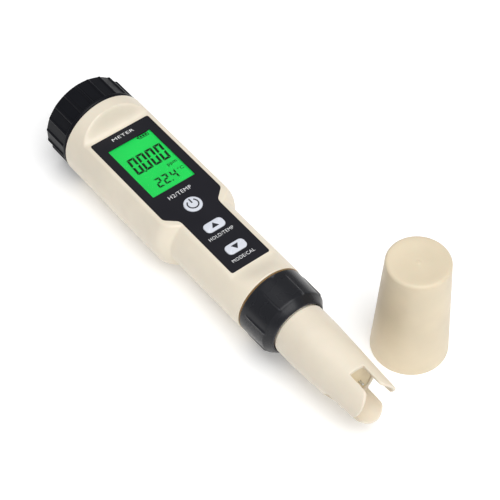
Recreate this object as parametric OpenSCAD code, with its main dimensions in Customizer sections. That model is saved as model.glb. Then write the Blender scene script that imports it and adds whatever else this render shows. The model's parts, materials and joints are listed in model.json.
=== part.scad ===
// Pen-style water tester lying on its back, with its storage cap standing beside it.
// The pen's axis runs along Y: battery cap at +Y, probe tip at -Y, label face up.
// Inside the modules, stations along the pen are measured from the probe tip,
// and heights from the pen's axis.

/* [Pen] */
// Diameter of the head at the shoulder
head_d = 40; // [39.9:0.1:40.4]
// Diameter of the head next to the battery cap
head_rear_d = 40.2; // [40:0.1:40.6]
// Diameter of the lower body
body_d = 31.8; // [31:0.1:33]
// Height of the flat label face above the pen's axis
face_z = 12; // [11.5:0.1:12.5]
// Height of the pen's axis above the surface it lies on
axis_z = 19.9; // [19.85:0.05:19.95]
// Wall thickness of the housing
wall = 2; // [1.6:0.1:2.2]

/* [Stations along the pen] */
// End of the probe slots, from the tip
slot_end = 12.7; // [10:0.1:15]
// Front face of the collar's nose
collar_front = 46.9; // [45:0.1:47]
// Edge between the collar's nose and its barrel
collar_edge = 50.3; // [49.8:0.1:50.4]
// Rear face of the collar
collar_rear = 64.2; // [62.5:0.1:64.4]
// Front face of the housing
body_front = 64.9; // [64.8:0.1:65.2]
// Where the shoulder begins to round into the head
shoulder = 115.3; // [114:0.1:116]
// Rear face of the housing
head_rear = 177.9; // [177.5:0.1:178]
// Front edge of the battery cap
bcap_front = 178.2; // [178.2:0.1:178.6]
// Whole length of the pen
pen_l = 193.4; // [193:0.1:195]

/* [Label and display] */
// Width of the label on the head
label_w = 29.2; // [27:0.1:29.4]
// Width of the label on the lower body
label_low_w = 18.8; // [17:0.1:19]
// Lower end of the label
label_front = 76.6; // [75.5:0.1:78]
// Upper end of the label
label_rear = 165.9; // [164:0.1:166]
// Width of the display window
window_w = 21.1; // [19:0.1:22]
// Length of the display window
window_l = 31.7; // [30:0.1:32]
// Middle of the display window
window_y = 143; // [142:0.1:144]

/* [Keys] */
// Diameter of the round power key
power_d = 7.8; // [7:0.1:8.4]
// Middle of the power key
power_y = 114.5; // [113.5:0.1:115]
// Width of an arrow key
arrow_w = 8.9; // [8:0.1:9.2]
// Length of an arrow key
arrow_l = 4.9; // [4:0.1:5.2]
// Middle of the up key
up_y = 100.4; // [99:0.1:101]
// Middle of the down key
down_y = 86.4; // [85.5:0.1:88]
// How far the keys stand above the label
key_proud = 0.45; // [0.3:0.05:0.6]

/* [Battery cap] */
// Number of grip facets
facets = 20; // [16:1:24]
// Diameter over the grip ribs
bcap_d = 39.2; // [39:0.1:39.5]
// Diameter of the lip next to the housing
bcap_lip_d = 39.7; // [39.6:0.1:39.7]

/* [Probe] */
// Diameter of the probe's root, where the storage cap grips
probe_root_d = 23.7; // [23.5:0.05:23.8]
// Diameter of the probe at its tip
probe_tip_d = 20; // [19.6:0.1:20.4]
// Diameter of the probe's bore
probe_bore_d = 17.8; // [17:0.1:18]
// Diameter of the collar at its rear
collar_d = 31; // [30.6:0.1:31.2]
// Width of the two narrow slots
slot_w = 6.6; // [5:0.1:7]
// Width of the wide slot
wide_slot_w = 8.4; // [7:0.1:9]

/* [Storage cap] */
// Diameter at the open rim
scap_d = 31.5; // [31:0.1:32]
// Diameter at the closed end
scap_top_d = 25.7; // [25:0.1:27]
// Height of the cap
scap_h = 52.3; // [51.5:0.1:54]
// Distance of the cap's axis from the pen's axis
scap_x = 39.9; // [38:0.1:60]
// Station of the cap's axis, from the probe tip
scap_y = 25; // [18:0.1:60]

/* [Hidden] */
$fn = 96;
eps = 0.01;
head_r = head_rear_d / 2;
pen_x = (head_r - scap_x - scap_d / 2) / 2;
pen_y = -pen_l / 2;

// label pocket and wall under the flat face
pocket_depth = 0.35;
label_t = 0.3;
ceiling_z = face_z - pocket_depth - wall;
pocket_z = face_z - pocket_depth;

// cavities
head_cavity_r = 18;
body_cavity_r = 13.9;
front_bore_r = 11.2;
rear_bore_r = 15.6;
front_neck_r = 12.7;
front_neck_end = 53;
rear_neck_r = 17.2;
rear_neck_end = 188.6;

// display stack, from the lens down to the board
board_top = 4.8;
board_t = 1.6;
lens_t = 0.9;
lens_w = 24.4;
lens_l = 35.1;
lcd_z = 9;
lcd_t = 1.7;
frame_l = 36.3;

// keys and switches
key_flange_t = 1.2;
key_flange_top = ceiling_z - 0.15;
stem_bottom = 7.2;
key_clear = 0.12;
key_stations = [power_y, up_y, down_y];

// batteries
cell_r = 5.8;
cell_l = 5.3;
cell_pitch = 5.4;
cells_front = 165.8;
holder_r = 7.6;
holder_front = 163.4;
holder_rear = 187.4;

// screws that hold the board to its bosses
screw_spots = [[-10.5, 119.5], [10.5, 119.5], [-8.3, 74.6], [8.3, 74.6]];
pilot_r = 0.8;

// probe
probe_flange_r = 12.9;
collar_bore_r = 13.1;
prong_tip_r = 7.3;
prong_angles = [30, 150, 270];
narrow_slot_angles = [90, -30];
wide_slot_angle = 207;
wide_slot_end = 19;
land_front = 37;
land_rear = 46.6;
sensor_face = 13.4;
plug_pin_spots = [[3, 3], [-3, 3], [3, -3], [-3, -3]];
feature_r = 3;
pin_angles = [-15, 105];
thermo_angle = 225;

// storage cap
scap_wall = 1.9;
scap_edge_r = 1.3;
scap_inner_h = 49.9;
seal_low = 5.2;
seal_high = 10.8;
seal_bore_r = probe_root_d / 2 + 0.07;
seal_seat_r = 13.3;

cream = [0.9, 0.86, 0.79];
black = [0.13, 0.13, 0.15];
grey = [0.85, 0.86, 0.87];
steel = [0.75, 0.76, 0.78];

// ---- shared shapes ----

// Places children given in the pen's own coordinates.
module in_pen() {
    translate([pen_x, pen_y, axis_z]) children();
}

// Solid of revolution about the pen's axis; points are [radius, station].
module turned(points) {
    rotate([-90, 0, 0]) rotate_extrude() polygon(points);
}

// Round bar along the pen from one station to another.
module bar(r, from, to) {
    translate([0, from, 0]) rotate([-90, 0, 0]) cylinder(r = r, h = to - from);
}

// Box given by its half width, stations and heights.
module slab(half_w, from, to, low, high) {
    translate([-half_w, from, low]) cube([2 * half_w, to - from, high - low]);
}

// Upright block with round corners, centred in plan.
module round_block(w, l, h, r) {
    translate([-w / 2 + r, -l / 2, 0]) cube([w - 2 * r, l, h]);
    translate([-w / 2, -l / 2 + r, 0]) cube([w, l - 2 * r, h]);
    for (sx = [-1, 1], sy = [-1, 1])
        translate([sx * (w / 2 - r), sy * (l / 2 - r), 0]) cylinder(r = r, h = h, $fn = 32);
}

// Points of an arc in the [radius, station] plane.
function arc(cx, cy, r, from, to, steps) =
    [for (i = [0:steps]) let (a = from + (to - from) * i / steps) [cx + r * cos(a), cy + r * sin(a)]];

// ---- housing ----

shoulder_r = 7.5;
shoulder_drop = acos(1 - (head_d - body_d) / 2 / shoulder_r);

// One-piece barrel: lower body, rounded shoulder, head and the two threaded necks.
module housing_outside() {
    turned(concat(
        [[0, front_neck_end], [front_neck_r, front_neck_end], [front_neck_r, body_front],
            [body_d / 2 - 0.5, body_front], [body_d / 2 - 0.1, body_front + 0.4]],
        arc(head_d / 2 - shoulder_r, shoulder, shoulder_r, -shoulder_drop, 0, 10),
        [[head_r, head_rear - 0.6], [head_r - 0.6, head_rear], [rear_neck_r, head_rear],
            [rear_neck_r, rear_neck_end - 0.5], [rear_neck_r - 0.5, rear_neck_end],
            [0, rear_neck_end]]));
    for (y = [181.2, 183.2, 185.2])
        turned([[rear_neck_r - eps, y], [rear_neck_r + 0.35, y + 0.4],
            [rear_neck_r + 0.35, y + 0.7], [rear_neck_r - eps, y + 1.1]]);
}

// Hollow inside, with a flat ceiling under the label face.
module housing_cavity() {
    intersection() {
        turned([[0, 69.5], [body_cavity_r, 69.5], [body_cavity_r, 110.5], [head_cavity_r, 117.5],
            [head_cavity_r, 176.5], [0, 176.5]]);
        slab(30, 60, 180, -30, ceiling_z);
    }
    bar(front_bore_r, front_neck_end - 1, 71);
    bar(rear_bore_r, 176, rear_neck_end + 1);
}

// Material removed above the label face, with a hollowed ramp at each end.
scoop_r = 5.3;
scoop_rear = 166.3;
ramp_r = 3.8;
ramp_front = 74.9;
module label_flat() {
    slab(30, ramp_front, scoop_rear, face_z, 30);
    slab(30, scoop_rear - 1, scoop_rear + scoop_r, face_z + scoop_r, 30);
    translate([-30, scoop_rear, face_z + scoop_r]) rotate([0, 90, 0]) cylinder(r = scoop_r, h = 60);
    slab(30, ramp_front - ramp_r, ramp_front + 1, face_z + ramp_r, 30);
    translate([-30, ramp_front, face_z + ramp_r]) rotate([0, 90, 0]) cylinder(r = ramp_r, h = 60);
}

// Outline of the label: wide on the head, slanted in below the display, narrow on the body.
module label_outline(grow) {
    half = label_w / 2;
    low = label_low_w / 2;
    right = [[low, label_front], [low, 109.2], [low + 0.4, 110.8], [half, 115.1],
        [half, label_rear]];
    left = [for (i = [len(right) - 1:-1:0]) [-right[i][0], right[i][1]]];
    offset(r = grow + 1.1, $fn = 32) offset(delta = -1.1) polygon(concat(right, left));
}

// Openings of the three keys.
module key_openings(low, high) {
    translate([0, power_y, low]) cylinder(r = power_d / 2 + key_clear, h = high - low);
    for (y = [up_y, down_y])
        translate([0, y, low])
            round_block(arrow_w + 2 * key_clear, arrow_l + 2 * key_clear, high - low, 1.3);
}

// Two shallow grip grooves across the underside of the head.
module back_grooves() {
    groove_r = 2.4;
    for (y = [136.8, 162.4])
        translate([0, y, 0]) rotate([-90, 0, 0])
            rotate_extrude(angle = 156, start = 12)
                translate([head_r + groove_r - 0.55, 0]) circle(r = groove_r, $fn = 48);
}

module board_bosses() {
    for (p = screw_spots)
        translate([p[0], p[1], board_top]) difference() {
            cylinder(r = 2, h = ceiling_z + 0.3 - board_top, $fn = 40);
            translate([0, 0, -eps]) cylinder(r = pilot_r, h = 4.2, $fn = 24);
        }
}

module housing() color(cream) in_pen() {
    difference() {
        housing_outside();
        label_flat();
        housing_cavity();
        translate([0, 0, pocket_z]) linear_extrude(2) label_outline(0.1);
        slab(lens_w / 2 + 0.1, window_y - lens_l / 2 - 0.1, window_y + lens_l / 2 + 0.1, 5, 13);
        key_openings(5, 14);
        back_grooves();
        slab(30, 60, 190, -30, -axis_z);
    }
    board_bosses();
}

// ---- label and display ----

module overlay_label() color(black) in_pen() difference() {
    translate([0, 0, pocket_z + 0.02]) linear_extrude(label_t) label_outline(0);
    slab(window_w / 2, window_y - window_l / 2, window_y + window_l / 2, 10, 14);
    key_openings(10, 14);
}

module display_window() color([0.8, 0.95, 0.85, 0.4]) in_pen()
    slab(lens_w / 2, window_y - lens_l / 2, window_y + lens_l / 2, pocket_z - lens_t, pocket_z);

module lcd_panel() color([0.2, 0.85, 0.4]) in_pen()
    slab(12, window_y - 17.3, window_y + 17.3, lcd_z, lcd_z + lcd_t);

// Tray that holds the backlight and carries the display glass on its rim.
module display_frame() color([0.93, 0.93, 0.92]) in_pen() difference() {
    slab(12.2, window_y - frame_l / 2, window_y + frame_l / 2, board_top + 0.05, lcd_z - 0.02);
    slab(11.2, window_y - 17.45, window_y + 17.45, board_top - 1, lcd_z + 1);
}

module backlight() color([0.75, 1, 0.8]) in_pen()
    slab(11.1, window_y - 15.75, window_y + 15.75, 6.6, lcd_z - 0.05);

// Rubber strips that connect the display glass to the board.
module contact_strips() color([0.35, 0.35, 0.4]) in_pen()
    for (s = [-1, 1])
        translate([0, window_y + s * 16.6, 0]) slab(10.6, -0.65, 0.65, board_top + 0.05, lcd_z - 0.05);

// ---- electronics ----

module circuit_board() color([0.1, 0.4, 0.2]) in_pen() difference() {
    union() {
        slab(13.2, 112, 162, board_top - board_t, board_top);
        slab(11, 71.8, 112 + eps, board_top - board_t, board_top);
    }
    for (p = screw_spots)
        translate([p[0], p[1], 0]) cylinder(r = 1.1, h = 10, $fn = 32);
}

module board_screws() color(steel) in_pen()
    for (p = screw_spots)
        translate([p[0], p[1], board_top - board_t - 1.3]) {
            difference() {
                cylinder(r = 1.9, h = 1.28, $fn = 40);
                translate([-2, -0.25, -eps]) cube([4, 0.5, 0.5]);
            }
            cylinder(r = pilot_r - 0.05, h = 6.2, $fn = 24);
        }

// Tactile switches under the three keys.
module tact_switches() color([0.3, 0.3, 0.32]) in_pen()
    for (y = key_stations)
        translate([0, y, board_top + 0.02]) {
            translate([-3, -2.4, 0]) cube([6, 4.8, 1.3]);
            cylinder(r = 1.7, h = 1.8, $fn = 40);
        }

module microcontroller() color(black) in_pen() {
    chip_top = board_top - board_t - 0.02;
    translate([0, 137, 0]) slab(5, -5, 5, chip_top - 1.4, chip_top);
    for (s = [-1, 1], i = [-4:4])
        translate([s * 5.5, 137 + i, chip_top - 0.5]) cube([1.4, 0.35, 1], center = true);
}

// Amplifier, memory, crystal and capacitors soldered under the board.
module chip_parts() color([0.35, 0.3, 0.25]) in_pen() {
    under = board_top - board_t - 0.02;
    translate([0, 96, under - 1.5]) slab(2.5, -2, 2, 0, 1.5);
    translate([5, 122, under - 1.2]) slab(2, -2.5, 2.5, 0, 1.2);
    translate([-6, 124, under - 3]) cylinder(r = 2, h = 3, $fn = 40);
    translate([0, 84, under - 2.4]) slab(4.6, -1.8, 1.8, 0, 2.4);
    for (i = [0:5])
        translate([-5 + 2 * i, 104, under - 0.8]) slab(0.6, -1, 1, 0, 0.8);
}

// ---- keys ----

module key_stem(y) {
    translate([0, y, stem_bottom]) cylinder(r = 1.5, h = key_flange_top - stem_bottom, $fn = 40);
}

module power_key() color(grey) in_pen() {
    key_top = face_z + key_proud;
    translate([0, power_y, key_flange_top - key_flange_t])
        cylinder(r = power_d / 2 + 0.9, h = key_flange_t);
    translate([0, power_y, key_flange_top - eps])
        cylinder(r = power_d / 2, h = key_top - 0.25 - key_flange_top + eps);
    translate([0, power_y, key_top - 0.25]) cylinder(r1 = power_d / 2, r2 = power_d / 2 - 0.25, h = 0.25);
    key_stem(power_y);
}

module arrow_key(y) {
    key_top = face_z + key_proud;
    translate([0, y, key_flange_top - key_flange_t])
        round_block(arrow_w + 1.4, arrow_l + 1.4, key_flange_t, 1.8);
    translate([0, y, key_flange_top - eps])
        round_block(arrow_w, arrow_l, key_top - 0.2 - key_flange_top + eps, 1.2);
    translate([0, y, key_top - 0.2 - eps]) round_block(arrow_w - 0.4, arrow_l - 0.4, 0.2, 1);
    key_stem(y);
}

module up_key() color(grey) in_pen() arrow_key(up_y);

module down_key() color(grey) in_pen() arrow_key(down_y);

// ---- batteries ----

// Tube for the stack of coin cells, with a flange that fills the rear neck.
module battery_holder() color(black) in_pen() difference() {
    union() {
        bar(holder_r, holder_front, holder_rear);
        bar(rear_bore_r - 0.2, holder_rear - 2, holder_rear);
        for (a = [0:90:270])
            rotate([0, a, 0]) slab(0.6, 178, holder_rear - 1, 0, rear_bore_r - 0.6);
    }
    bar(cell_r + 0.2, holder_front + 1.2, holder_rear + 1);
}

module coin_cell(index) color(steel) in_pen() {
    from = cells_front + index * cell_pitch;
    turned([[0, from], [4.9, from], [4.9, from + 0.5], [cell_r, from + 1], [cell_r, from + cell_l - 0.3],
        [cell_r - 0.3, from + cell_l], [0, from + cell_l]]);
}

module cell_1() coin_cell(0);

module cell_2() coin_cell(1);

module cell_3() coin_cell(2);

module cell_4() coin_cell(3);

// Dished metal contact at the front end of the stack.
module front_contact() color([0.85, 0.72, 0.35]) in_pen()
    turned([[0, holder_front + 1.7], [2, holder_front + 2.2], [5.6, holder_front + 1.25],
        [5.6, holder_front + 1.55], [2, holder_front + 2.38], [0, holder_front + 2.3]]);

module battery_leads() color([0.7, 0.1, 0.1]) in_pen()
    for (s = [-1, 1])
        translate([s * 4, 0, 0]) {
            translate([0, 159.5, 2.5]) rotate([-90, 0, 0]) cylinder(r = 0.5, h = 3.8, $fn = 16);
            translate([0, 159.6, 2.4]) cylinder(r = 0.5, h = 0.75, $fn = 16);
        }

// ---- battery cap ----

bcap_bore_r = 17.85;
bcap_inner_end = 190.4;
rib_r = 0.55;
lip_end = bcap_front + 1.6;

module battery_cap() color(black) in_pen() difference() {
    intersection() {
        union() {
            turned([[0, bcap_front], [bcap_lip_d / 2 - 0.7, bcap_front],
                [bcap_lip_d / 2, bcap_front + 0.7], [bcap_lip_d / 2, lip_end], [0, lip_end]]);
            translate([0, lip_end - 0.1, 0]) rotate([-90, 0, 0])
                linear_extrude(pen_l - lip_end + 0.1)
                    polygon([for (i = [0:facets - 1]) let (a = 360 * (i + 0.5) / facets)
                        (bcap_d / 2 - 0.3) * [sin(a), cos(a)]]);
            for (i = [0:facets - 1])
                rotate([0, 360 * (i + 0.5) / facets, 0])
                    translate([0, 0, bcap_d / 2 - rib_r]) bar(rib_r, lip_end - 0.3, pen_l, $fn = 24);
        }
        turned([[0, bcap_front - 1], [bcap_lip_d / 2 + 1, bcap_front - 1],
            [bcap_lip_d / 2 + 1, pen_l - 2.5], [bcap_d / 2 - 1.2, pen_l],
            [0, pen_l]]);
    }
    bar(bcap_bore_r, bcap_front - 1, bcap_inner_end);
    turned([[0, pen_l - 0.5], [15.5, pen_l - 0.5], [16.2, pen_l + 1], [0, pen_l + 1]]);
    slab(9, pen_l - 1.6, pen_l + 1, -1, 1);
}

// Flat seal ring at the bottom of the battery cap.
module battery_cap_gasket() color([0.1, 0.1, 0.1]) in_pen()
    turned([[15.9, rear_neck_end + 0.15], [17.7, rear_neck_end + 0.15], [17.7, bcap_inner_end - 0.02],
        [15.9, bcap_inner_end - 0.02]]);

module cap_contact_plate() color(steel) in_pen()
    bar(7, bcap_inner_end - 0.42, bcap_inner_end - 0.02);

// Conical coil that presses on the last cell.
spring_wire = 0.3;
spring_turns = 2.5;
spring_steps = 60;
spring_sides = 8;
function spring_ring(i) =
    let (u = i / spring_steps, a = 360 * spring_turns * u, r = 5 - 2.8 * u,
        y = bcap_inner_end - 0.42 - spring_wire - 0.01 - 1.85 * u)
    [for (k = [0:spring_sides - 1]) let (b = 360 * k / spring_sides, q = r + spring_wire * cos(b))
        [q * cos(a), y + spring_wire * sin(b), q * sin(a)]];
module cap_contact_spring() color(steel) in_pen() {
    points = [for (i = [0:spring_steps]) each spring_ring(i)];
    last = spring_steps * spring_sides;
    sides = [for (i = [0:spring_steps - 1], k = [0:spring_sides - 1])
        let (n = (k + 1) % spring_sides, a = i * spring_sides)
        [a + k, a + n, a + spring_sides + n, a + spring_sides + k]];
    start_face = [for (k = [spring_sides - 1:-1:0]) k];
    end_face = [for (k = [0:spring_sides - 1]) last + k];
    polyhedron(points, concat(sides, [start_face, end_face]));
}

// ---- collar and probe ----

module collar_gasket() color([0.75, 0.5, 0.2]) in_pen()
    turned([[front_neck_r + 0.05, collar_rear + 0.05], [collar_d / 2 - 0.05, collar_rear + 0.05],
        [collar_d / 2 - 0.05, body_front - 0.03], [front_neck_r + 0.05, body_front - 0.03]]);

// Ring nut with a conical nose and eight fine ribs.
module probe_collar() color(black) in_pen() {
    edge_r = collar_d / 2 - 0.4;
    nose_r = probe_root_d / 2 + 0.2;
    difference() {
        union() {
            turned([[nose_r + 0.05, collar_front], [nose_r + 0.45, collar_front + 0.1],
                [edge_r - 0.7, collar_edge - 1.1], [edge_r - 0.2, collar_edge - 0.4],
                [edge_r, collar_edge + 0.4], [collar_d / 2, collar_rear - 0.4],
                [collar_d / 2 - 0.3, collar_rear], [nose_r + 0.05, collar_rear]]);
            for (i = [0:7])
                rotate([0, 18.5 + 45 * i, 0]) translate([edge_r - 0.22, 0, 0])
                    bar(0.5, collar_edge + 0.2, collar_rear - 3.2, $fn = 24);
        }
        bar(nose_r, collar_front - 1, collar_edge + 1);
        bar(collar_bore_r, collar_edge + 0.2, collar_rear + 1);
    }
}

// Cuts one prong's end to a half round, seen along its own direction.
module prong_end_cut(angle) {
    rotate([0, -angle, 0]) difference() {
        translate([4, -2, -9]) cube([10, prong_tip_r + 2, 18]);
        translate([3, prong_tip_r, 0]) rotate([0, 90, 0]) cylinder(r = prong_tip_r, h = 12);
    }
}

// Slotted tube around the sensor, with the flange that the collar clamps and a tail.
module probe_guard() color(cream) in_pen() {
    root_r = probe_root_d / 2;
    tip_r = probe_tip_d / 2;
    tail_r = front_bore_r - 0.15;
    difference() {
        turned([[0, -0.6], [tip_r, -0.6], [root_r, land_front],
            [root_r, land_rear], [root_r - 0.6, land_rear], [root_r - 0.6, 50.6],
            [probe_flange_r, 50.6], [probe_flange_r, 52.6], [tail_r, 52.6], [tail_r, 56.4],
            [tail_r - 0.95, 56.4], [tail_r - 0.95, 57.7], [tail_r, 57.7], [tail_r, 61.6],
            [tail_r - 0.4, 62], [0, 62]]);
        bar(probe_bore_d / 2, -2, 63);
        for (a = narrow_slot_angles)
            rotate([0, -a, 0]) translate([0, -2, -slot_w / 2]) cube([15, slot_end + 2, slot_w]);
        rotate([0, -wide_slot_angle, 0]) {
            translate([0, -2, -wide_slot_w / 2])
                cube([15, wide_slot_end + 2 - wide_slot_w / 2, wide_slot_w]);
            translate([0, wide_slot_end - wide_slot_w / 2, 0]) rotate([0, 90, 0])
                cylinder(r = wide_slot_w / 2, h = 15);
        }
        for (a = prong_angles) prong_end_cut(a);
    }
}

// Moulded plug that fills the probe and holds its sensing pins.
module sensor_plug() color([0.83, 0.76, 0.62]) in_pen() difference() {
    bar(probe_bore_d / 2 - 0.03, sensor_face, 46);
    for (a = pin_angles) rotate([0, -a, 0]) translate([feature_r, 0, 0]) bar(0.55, 10, 47, $fn = 24);
    rotate([0, -thermo_angle, 0]) translate([feature_r, 0, 0]) bar(1.55, 10, 31, $fn = 40);
}

module sensor_pins() color(steel) in_pen()
    for (a = pin_angles)
        rotate([0, -a, 0]) translate([feature_r, 0, 0])
            turned([[0, sensor_face - 2.2], [0.3, sensor_face - 2.2], [0.5, sensor_face - 1.9],
                [0.5, 46.5], [0, 46.5]]);

// Closed steel tube that holds the thermistor.
module temperature_sensor() color(steel) in_pen()
    rotate([0, -thermo_angle, 0]) translate([feature_r, 0, 0])
        turned(concat(arc(0, sensor_face - 2.4, 1.5, -90, 0, 6), [[1.5, 30.8], [0, 30.8]]));

module sensor_leads() color([0.7, 0.2, 0.15]) in_pen()
    for (a = pin_angles)
        rotate([0, -a, 0]) translate([feature_r, 0, 0]) bar(0.7, 46.55, 56.4, $fn = 24);

module probe_seal() color([0.1, 0.1, 0.1]) in_pen()
    translate([0, 57.05, 0]) rotate([-90, 0, 0])
        rotate_extrude() translate([front_bore_r - 0.6, 0]) circle(r = 0.48, $fn = 32);

// Connector block at the probe's inner end.
module probe_plug() color([0.2, 0.2, 0.22]) in_pen() difference() {
    bar(probe_bore_d / 2 - 0.05, 56.5, 60.5);
    for (p = plug_pin_spots) translate([p[0], 0, p[1]]) bar(0.5, 55, 62, $fn = 24);
}

module plug_pins() color([0.85, 0.72, 0.35]) in_pen()
    for (p = plug_pin_spots)
        translate([p[0], 0, p[1]]) turned([[0, 56], [0.45, 56], [0.45, 68], [0.2, 68.6], [0, 68.6]]);

// Fixed socket that the probe plugs into.
module probe_socket() color([0.2, 0.2, 0.22]) in_pen() difference() {
    bar(front_bore_r - 0.1, 64, 70.4);
    for (p = plug_pin_spots) translate([p[0], 0, p[1]]) bar(0.65, 63, 69.2, $fn = 24);
}

// Short flat lead from the socket to the board.
module sensor_cable() color([0.8, 0.8, 0.82]) in_pen() {
    slab(3, 70.42, 74.5, 1.4, 1.8);
    slab(3, 74.1, 74.5, 1.8 - eps, board_top - board_t - 0.03);
}

// ---- storage cap ----

// Places children on the storage cap's own upright axis.
module at_storage_cap() {
    translate([pen_x + scap_x, pen_y + scap_y, 0]) children();
}

module storage_cap() color(cream) at_storage_cap() {
    rim_r = scap_d / 2;
    top_r = scap_top_d / 2;
    slope = (rim_r - top_r) / scap_h;
    edge_low = scap_h - scap_edge_r;
    lean = atan(slope);
    rotate_extrude() polygon(concat(
        [[seal_seat_r + 0.6, 0], [rim_r - 0.35, 0], [rim_r, 0.35]],
        arc(top_r - scap_edge_r + slope * scap_edge_r, edge_low, scap_edge_r, lean, 78, 8),
        [[top_r - 2.2, scap_h - 0.1], [top_r - 3, scap_h - 0.35], [4, scap_h - 0.8],
            [1.3, scap_h - 0.85], [1.2, scap_h - 0.5], [0.5, scap_h - 0.5], [0.4, scap_h - 0.75],
            [0, scap_h - 0.75], [0, scap_inner_h], [top_r - scap_wall + 0.3, scap_inner_h],
            [seal_seat_r - 0.55, seal_high + 0.1], [seal_seat_r, seal_high + 0.1],
            [seal_seat_r, seal_low - 0.1], [seal_seat_r + 0.4, seal_low - 0.1]]));
}

module storage_cap_seal() color([0.85, 0.85, 0.82]) at_storage_cap() difference() {
    translate([0, 0, seal_low]) cylinder(r = seal_seat_r - 0.02, h = seal_high - seal_low);
    cylinder(r = seal_bore_r, h = 20);
}

// Pad in the closed end that keeps the probe moist.
module storage_sponge() color([0.95, 0.9, 0.6]) at_storage_cap()
    translate([0, 0, scap_inner_h - 3.2]) cylinder(r = 10.8, h = 3.1);

housing();
overlay_label();
display_window();
lcd_panel();
display_frame();
backlight();
contact_strips();
circuit_board();
board_screws();
tact_switches();
microcontroller();
chip_parts();
power_key();
up_key();
down_key();
battery_holder();
cell_1();
cell_2();
cell_3();
cell_4();
front_contact();
battery_leads();
battery_cap();
battery_cap_gasket();
cap_contact_plate();
cap_contact_spring();
collar_gasket();
probe_collar();
probe_guard();
sensor_plug();
sensor_pins();
temperature_sensor();
sensor_leads();
probe_seal();
probe_plug();
plug_pins();
probe_socket();
sensor_cable();
storage_cap();
storage_cap_seal();
storage_sponge();
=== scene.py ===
"""Looks of the pen-style water tester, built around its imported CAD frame.

Blender works in metres. The pen's own pieces are given in millimetres in the pen's
coordinates: x across, the station along the pen from the probe tip, and the height
above the pen's axis. Angles round the pen are measured from straight up towards +x.
The storage cap is given in millimetres about its own upright axis.
"""
import json
import math

import bmesh
import bpy
from mathutils import Matrix, Vector, noise


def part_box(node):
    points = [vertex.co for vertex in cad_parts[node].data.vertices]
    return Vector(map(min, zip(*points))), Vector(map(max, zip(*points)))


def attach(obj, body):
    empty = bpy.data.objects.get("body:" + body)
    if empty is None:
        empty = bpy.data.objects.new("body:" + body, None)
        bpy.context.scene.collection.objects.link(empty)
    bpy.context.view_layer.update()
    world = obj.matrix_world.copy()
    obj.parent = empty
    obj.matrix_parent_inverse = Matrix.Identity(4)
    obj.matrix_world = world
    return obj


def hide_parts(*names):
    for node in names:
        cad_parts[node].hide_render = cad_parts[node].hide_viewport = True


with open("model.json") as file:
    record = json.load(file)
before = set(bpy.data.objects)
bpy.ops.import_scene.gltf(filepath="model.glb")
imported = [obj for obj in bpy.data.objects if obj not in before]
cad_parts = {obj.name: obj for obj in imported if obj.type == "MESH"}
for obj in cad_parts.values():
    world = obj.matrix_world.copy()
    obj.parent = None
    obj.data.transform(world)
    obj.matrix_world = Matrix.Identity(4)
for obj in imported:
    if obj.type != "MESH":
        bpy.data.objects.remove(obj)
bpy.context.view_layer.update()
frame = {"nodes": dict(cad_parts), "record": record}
NODES = frame["nodes"]
MM = 0.001

# ---- where the pen lies ----

PEN_LENGTH = 193.4
ring_low, ring_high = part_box("battery_cap_gasket")
PEN_X = (ring_low.x + ring_high.x) / 2 / MM
PEN_Z = (ring_low.z + ring_high.z) / 2 / MM
PEN_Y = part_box("battery_cap")[1].y / MM - PEN_LENGTH

# ---- camera, light and floor ----

VIEW_AZIMUTH = math.radians(-38.2)
VIEW_ELEVATION = math.radians(50.75)
VIEW_ROLL = math.radians(0.1)
VIEW_DISTANCE = 0.7024
VIEW_AIM = Vector((-0.00838, -0.00744, 0.020))
LENS_MM = 125.5
SENSOR_MM = 36.0
CLIP_NEAR, CLIP_FAR = 0.05, 10.0

# name, place, size of both sides in metres, power in watts
LIGHTS = (("overhead", (-0.05, -0.75, 1.35), 1.3, 18),
          ("above", (-0.1, 0.0, 1.6), 1.2, 7))
SKY_STRENGTH = 0.31
FLOOR_REACH = 6.0
FLOOR_GREY = 0.94
FLOOR_ROUGHNESS = 0.9
FLOOR_GLOW = 0.2


def view_axes():
    """Right, up and back vectors of the camera."""
    ca, sa = math.cos(VIEW_AZIMUTH), math.sin(VIEW_AZIMUTH)
    ce, se = math.cos(VIEW_ELEVATION), math.sin(VIEW_ELEVATION)
    back = Vector((sa * ce, -ca * ce, se))
    right = Vector((ca, sa, 0.0))
    return right, back.cross(right), back


def add_camera():
    right, up, back = view_axes()
    data = bpy.data.cameras.new("camera")
    data.lens = LENS_MM
    data.sensor_width = SENSOR_MM
    data.clip_start = CLIP_NEAR
    data.clip_end = CLIP_FAR
    camera = bpy.data.objects.new("camera", data)
    turn = Matrix((right, up, back)).transposed()
    camera.matrix_world = (Matrix.Translation(VIEW_AIM + back * VIEW_DISTANCE) @ turn.to_4x4()
                           @ Matrix.Rotation(VIEW_ROLL, 4, "Z"))
    bpy.context.scene.collection.objects.link(camera)
    bpy.context.scene.camera = camera


def add_area_light(name, place, size, power):
    """Square light that faces the frame's origin."""
    data = bpy.data.lights.new(name, "AREA")
    data.shape = "SQUARE"
    data.size = size
    data.energy = power
    light = bpy.data.objects.new(name, data)
    light.location = place
    light.rotation_euler = (-Vector(place)).to_track_quat("-Z", "Y").to_euler()
    bpy.context.scene.collection.objects.link(light)


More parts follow.
